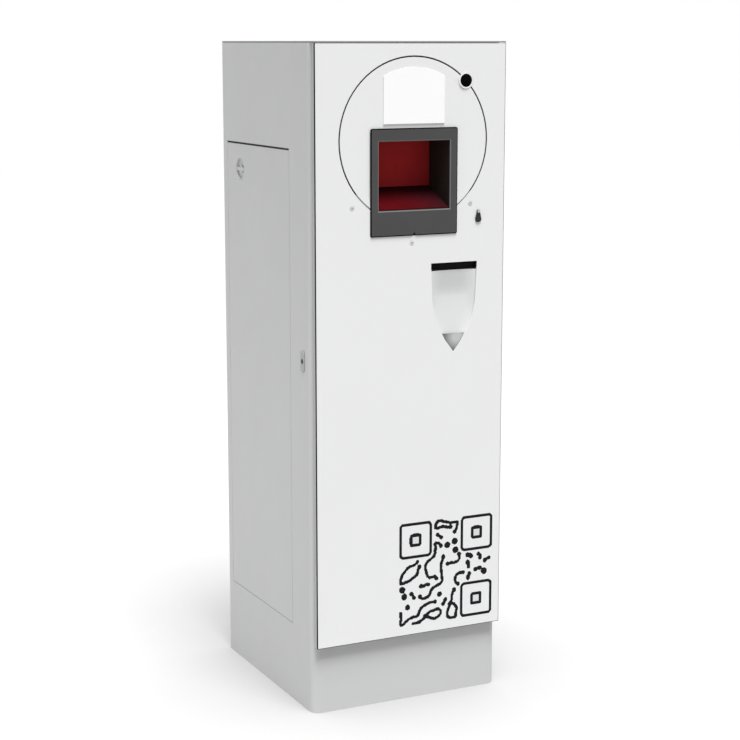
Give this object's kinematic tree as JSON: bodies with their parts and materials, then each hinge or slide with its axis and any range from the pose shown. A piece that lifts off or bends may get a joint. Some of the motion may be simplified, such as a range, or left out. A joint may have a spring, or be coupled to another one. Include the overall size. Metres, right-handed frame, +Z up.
{
  "type": "ticket vending machine",
  "caption": "Floor-standing ticket machine: grey steel column with a white hinged front door, framed scan window, ticket slot, key switch, side lock and side service panel.",
  "frame": {"origin": "middle of the base plate's flat underside, on the floor", "axes": "+Z up, -Y out of the front door, +X to the right of someone who stands outside and faces the door"},
  "size_m": [0.4121, 0.4735, 1.3],
  "materials": {
    "grey_paint": "fine-textured powder coat, light grey",
    "cap_paint": "powder coat, mid grey",
    "white_paint": "smooth satin powder coat, white",
    "bright_white": "moulded white acrylic",
    "dark_plastic": "fine-grained moulding, dark grey",
    "black_plastic": "fine-grained moulding, black",
    "red_plastic": "moulded deep red",
    "red_acrylic": "polished deep red acrylic",
    "black_acrylic": "polished black dome",
    "grey_plastic": "moulded mid grey",
    "zinc_steel": "zinc-plated sheet, satin",
    "case_metal": "passivated case sheet",
    "bright_steel": "stainless, brushed",
    "lock_brass": "turned, worn",
    "rubber": "matt black",
    "paper": "uncoated thermal paper"
  },
  "bodies": {
    "cabinet": {"cabinet_shell": "grey_paint", "top_cap": "cap_paint", "base_plate": "zinc_steel", "cable_gland": "black_plastic", "vent_grille": "grey_paint", "fan_housing": "black_plastic", "mounting_plate": "zinc_steel", "din_rail": "zinc_steel", "circuit_breaker": "grey_plastic", "power_supply": "case_metal", "controller_box": "case_metal", "control_lead": "rubber", "door_lock_housing": "bright_steel", "bar_guide_lower": "black_plastic", "bar_guide_upper": "black_plastic", "hinge_fixed_lower": "zinc_steel", "hinge_fixed_upper": "zinc_steel"},
    "door": {"door_tray": "grey_paint", "door_skin": "white_paint", "door_gasket": "rubber", "hinge_moving_lower": "zinc_steel", "hinge_moving_upper": "zinc_steel", "door_keeper_lower": "zinc_steel", "door_keeper_upper": "zinc_steel", "code_print": "white_paint", "reader_disc": "white_paint", "header_plate": "bright_white", "window_bezel": "dark_plastic", "scan_bay": "black_plastic", "bay_floor": "red_plastic", "scan_window": "red_acrylic", "scanner_engine": "black_plastic", "camera_housing": "white_paint", "camera_lens": "black_acrylic", "reader_screw_left": "white_paint", "reader_screw_right": "white_paint", "reader_screw_lower": "white_paint", "key_switch_body": "bright_steel", "cover_rivet": "bright_steel", "ticket_mouth": "black_plastic", "ticket_scoop": "white_paint", "scoop_tip": "grey_plastic", "printer_chassis": "zinc_steel", "roll_bracket": "zinc_steel"},
    "door_lock": {"door_lock_plug": "lock_brass", "door_lock_cam": "zinc_steel"},
    "lock_bar": {"lock_bar": "zinc_steel"},
    "service_panel": {"service_panel": "grey_paint", "panel_latch_cup": "grey_paint"},
    "panel_latch": {"panel_latch_wing": "grey_plastic", "panel_latch_tongue": "zinc_steel"},
    "keyhole_cover": {"keyhole_cover": "dark_plastic"},
    "key_switch": {"key_switch_plug": "lock_brass"},
    "slot_flap": {"slot_flap": "black_plastic"},
    "printer_cover": {"printer_cover": "dark_plastic"},
    "platen": {"platen_roller": "rubber"},
    "paper_roll": {"paper_roll": "paper"},
    "cutter": {"cutter_blade": "bright_steel"},
    "fan": {"fan_rotor": "dark_plastic"},
    "breaker_toggle": {"breaker_toggle": "black_plastic"}
  },
  "joints": [
    {"name": "door_swing", "type": "hinge", "parent": "cabinet", "child": "door", "pos_m": [0.1995, -0.228, 0.7], "axis": [0, 0, 1], "range_deg": [0, 110]},
    {"name": "door_lock_turn", "type": "hinge", "parent": "cabinet", "child": "door_lock", "pos_m": [-0.205, -0.187, 0.6975], "axis": [1, 0, 0], "range_deg": [-90, 0]},
    {"name": "lock_bar_slide", "type": "slide", "parent": "cabinet", "child": "lock_bar", "axis": [0, 0, 1], "range_m": [0, 0.0128]},
    {"name": "service_panel_tilt", "type": "hinge", "parent": "cabinet", "child": "service_panel", "pos_m": [-0.205, 0.03, 0.159], "axis": [0, -1, 0], "range_deg": [0, 20]},
    {"name": "panel_latch_turn", "type": "hinge", "parent": "service_panel", "child": "panel_latch", "pos_m": [-0.205, 0.121, 1.045], "axis": [1, 0, 0], "range_deg": [-90, 0]},
    {"name": "keyhole_cover_swing", "type": "hinge", "parent": "door", "child": "keyhole_cover", "pos_m": [0.144, -0.2435, 0.975], "axis": [0, -1, 0], "range_deg": [-100, 100]},
    {"name": "key_switch_turn", "type": "hinge", "parent": "door", "child": "key_switch", "pos_m": [0.144, -0.23, 0.962], "axis": [0, 1, 0], "range_deg": [0, 90]},
    {"name": "slot_flap_swing", "type": "hinge", "parent": "door", "child": "slot_flap", "pos_m": [0.0925, -0.2337, 0.8763], "axis": [1, 0, 0], "range_deg": [0, 70]},
    {"name": "printer_cover_lift", "type": "hinge", "parent": "door", "child": "printer_cover", "pos_m": [0.0925, -0.1297, 0.89375], "axis": [-1, 0, 0], "range_deg": [0, 70]},
    {"name": "platen_turn", "type": "hinge", "parent": "printer_cover", "child": "platen", "pos_m": [0.0925, -0.1917, 0.88075], "axis": [1, 0, 0], "continuous": true},
    {"name": "paper_roll_turn", "type": "hinge", "parent": "door", "child": "paper_roll", "pos_m": [0.0925, -0.1517, 0.74575], "axis": [1, 0, 0], "continuous": true},
    {"name": "cutter_stroke", "type": "slide", "parent": "door", "child": "cutter", "axis": [0, 0, 1], "range_m": [0, 0.01]},
    {"name": "fan_spin", "type": "hinge", "parent": "cabinet", "child": "fan", "pos_m": [0, 0.211, 1.2], "axis": [0, 1, 0], "continuous": true},
    {"name": "breaker_toggle_tip", "type": "hinge", "parent": "cabinet", "child": "breaker_toggle", "pos_m": [-0.105, 0.1469, 0.62], "axis": [1, 0, 0], "range_deg": [0, 40]}
  ],
  "couplings": [
    {"joint": "door_lock_turn", "follows": "lock_bar_slide", "rad_per_m": -122.72},
    {"joint": "platen_turn", "follows": "paper_roll_turn", "ratio": 7.5}
  ]
}
